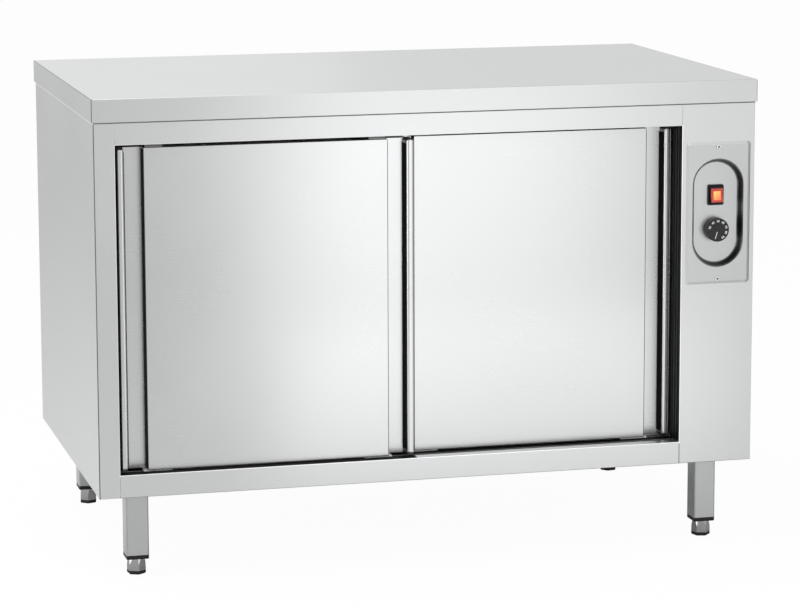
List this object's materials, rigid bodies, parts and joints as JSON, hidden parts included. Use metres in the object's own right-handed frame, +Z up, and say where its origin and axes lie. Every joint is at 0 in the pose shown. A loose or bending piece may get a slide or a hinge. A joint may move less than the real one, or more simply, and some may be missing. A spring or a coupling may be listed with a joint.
{
  "type": "plate warmer cabinet",
  "caption": "Free-standing heated cupboard for warming plates, with a flat steel worktop, sliding doors, a side control recess with switch and knob, and square legs.",
  "frame": {"origin": "on the floor, under the middle of the worktop", "axes": "+X to the right as seen from the doors, +Y to the back, +Z up"},
  "size_m": [1.2, 0.7, 0.845],
  "materials": {
    "satin_steel": "satin stainless sheet, fine horizontal grain",
    "bright_door_steel": "brighter, smoother stainless sheet of the doors",
    "lining_steel": "dull mill finish stainless or galvanised sheet",
    "polished_steel": "polished stainless",
    "heater_steel": "heat-darkened tube",
    "aluminium_parts": "pressed aluminium",
    "copper_brass": "bright copper tube and bulb",
    "mineral_wool": "pressed mineral wool slab",
    "black_plastic": "black moulded plastic",
    "brown_plastic": "brown phenolic moulding",
    "white_nylon": "natural nylon",
    "red_lens": "clear red lens, lit from inside",
    "motor_paint": "dark grey enamel",
    "black_rubber": "black rubber"
  },
  "bodies": {
    "cabinet": {"worktop": "satin_steel", "worktop_stiffeners": "lining_steel", "left_side_panel": "satin_steel", "right_side_panel": "satin_steel", "back_panel": "satin_steel", "base_panel": "satin_steel", "top_rail": "satin_steel", "bottom_rail": "satin_steel", "control_fascia": "satin_steel", "inner_left_wall": "lining_steel", "inner_right_wall": "lining_steel", "inner_back_wall": "lining_steel", "inner_ceiling": "lining_steel", "inner_floor": "lining_steel", "insulation_slabs": "mineral_wool", "top_track": "lining_steel", "track_end_stops": "black_rubber", "bottom_track": "lining_steel", "shelf_rails": "lining_steel", "control_plate": "satin_steel", "control_plate_screws": "polished_steel", "switch_housing": "black_plastic", "thermostat_body": "brown_plastic", "thermostat_sensor": "copper_brass", "heater_duct": "lining_steel", "fan_motor": "motor_paint", "heating_element": "heater_steel", "terminal_block": "brown_plastic", "cable_gland": "black_plastic", "front_left_leg": "satin_steel", "front_right_leg": "satin_steel", "back_left_leg": "satin_steel", "back_right_leg": "satin_steel", "leg_plugs": "black_plastic"},
    "left_door": {"left_door_front_skin": "bright_door_steel", "left_door_back_skin": "bright_door_steel", "left_door_core": "mineral_wool", "left_door_hangers": "lining_steel", "left_door_glides": "white_nylon"},
    "right_door": {"right_door_front_skin": "bright_door_steel", "right_door_back_skin": "bright_door_steel", "right_door_core": "mineral_wool", "right_door_hangers": "lining_steel", "right_door_glides": "white_nylon"},
    "left_door_left_roller": {"left_door_left_roller": "white_nylon"},
    "left_door_right_roller": {"left_door_right_roller": "white_nylon"},
    "right_door_left_roller": {"right_door_left_roller": "white_nylon"},
    "right_door_right_roller": {"right_door_right_roller": "white_nylon"},
    "shelf": {"shelf": "lining_steel"},
    "switch_rocker": {"switch_rocker": "red_lens"},
    "thermostat_knob": {"thermostat_knob": "black_plastic"},
    "fan_impeller": {"fan_impeller": "aluminium_parts"},
    "front_left_foot": {"front_left_foot": "polished_steel", "front_left_sole": "black_rubber"},
    "front_right_foot": {"front_right_foot": "polished_steel", "front_right_sole": "black_rubber"},
    "back_left_foot": {"back_left_foot": "polished_steel", "back_left_sole": "black_rubber"},
    "back_right_foot": {"back_right_foot": "polished_steel", "back_right_sole": "black_rubber"}
  },
  "joints": [
    {"name": "left_door_slide", "type": "slide", "parent": "cabinet", "child": "left_door", "axis": [1, 0, 0], "range_m": [0, 0.484]},
    {"name": "right_door_slide", "type": "slide", "parent": "cabinet", "child": "right_door", "axis": [1, 0, 0], "range_m": [-0.484, 0]},
    {"name": "left_door_left_roller_spin", "type": "hinge", "parent": "left_door", "child": "left_door_left_roller", "pos_m": [-0.4895, -0.3123, 0.7823], "axis": [0, 1, 0], "range_deg": [0, 2320]},
    {"name": "left_door_right_roller_spin", "type": "hinge", "parent": "left_door", "child": "left_door_right_roller", "pos_m": [-0.0945, -0.3123, 0.7823], "axis": [0, 1, 0], "range_deg": [0, 2320]},
    {"name": "right_door_left_roller_spin", "type": "hinge", "parent": "right_door", "child": "right_door_left_roller", "pos_m": [-0.004, -0.2843, 0.7823], "axis": [0, 1, 0], "range_deg": [-2320, 0]},
    {"name": "right_door_right_roller_spin", "type": "hinge", "parent": "right_door", "child": "right_door_right_roller", "pos_m": [0.391, -0.2843, 0.7823], "axis": [0, 1, 0], "range_deg": [-2320, 0]},
    {"name": "shelf_lift", "type": "slide", "parent": "cabinet", "child": "shelf", "axis": [0, 0, 1], "range_m": [0, 0.03]},
    {"name": "switch_rocker_tilt", "type": "hinge", "parent": "cabinet", "child": "switch_rocker", "pos_m": [0.5285, -0.3337, 0.637], "axis": [1, 0, 0], "range_deg": [0, 16]},
    {"name": "thermostat_knob_turn", "type": "hinge", "parent": "cabinet", "child": "thermostat_knob", "pos_m": [0.5285, -0.3335, 0.575], "axis": [0, -1, 0], "range_deg": [-162, 144]},
    {"name": "fan_spin", "type": "hinge", "parent": "cabinet", "child": "fan_impeller", "pos_m": [0.4912, 0.13, 0.335], "axis": [1, 0, 0], "continuous": true},
    {"name": "front_left_foot_screw", "type": "slide", "parent": "cabinet", "child": "front_left_foot", "axis": [0, 0, -1], "range_m": [0, 0.03]},
    {"name": "front_right_foot_screw", "type": "slide", "parent": "cabinet", "child": "front_right_foot", "axis": [0, 0, -1], "range_m": [0, 0.03]},
    {"name": "back_left_foot_screw", "type": "slide", "parent": "cabinet", "child": "back_left_foot", "axis": [0, 0, -1], "range_m": [0, 0.03]},
    {"name": "back_right_foot_screw", "type": "slide", "parent": "cabinet", "child": "back_right_foot", "axis": [0, 0, -1], "range_m": [0, 0.03]}
  ],
  "couplings": [
    {"joint": "left_door_left_roller_spin", "follows": "left_door_slide", "rad_per_m": 83.333},
    {"joint": "left_door_right_roller_spin", "follows": "left_door_slide", "rad_per_m": 83.333},
    {"joint": "right_door_left_roller_spin", "follows": "right_door_slide", "rad_per_m": 83.333},
    {"joint": "right_door_right_roller_spin", "follows": "right_door_slide", "rad_per_m": 83.333}
  ]
}
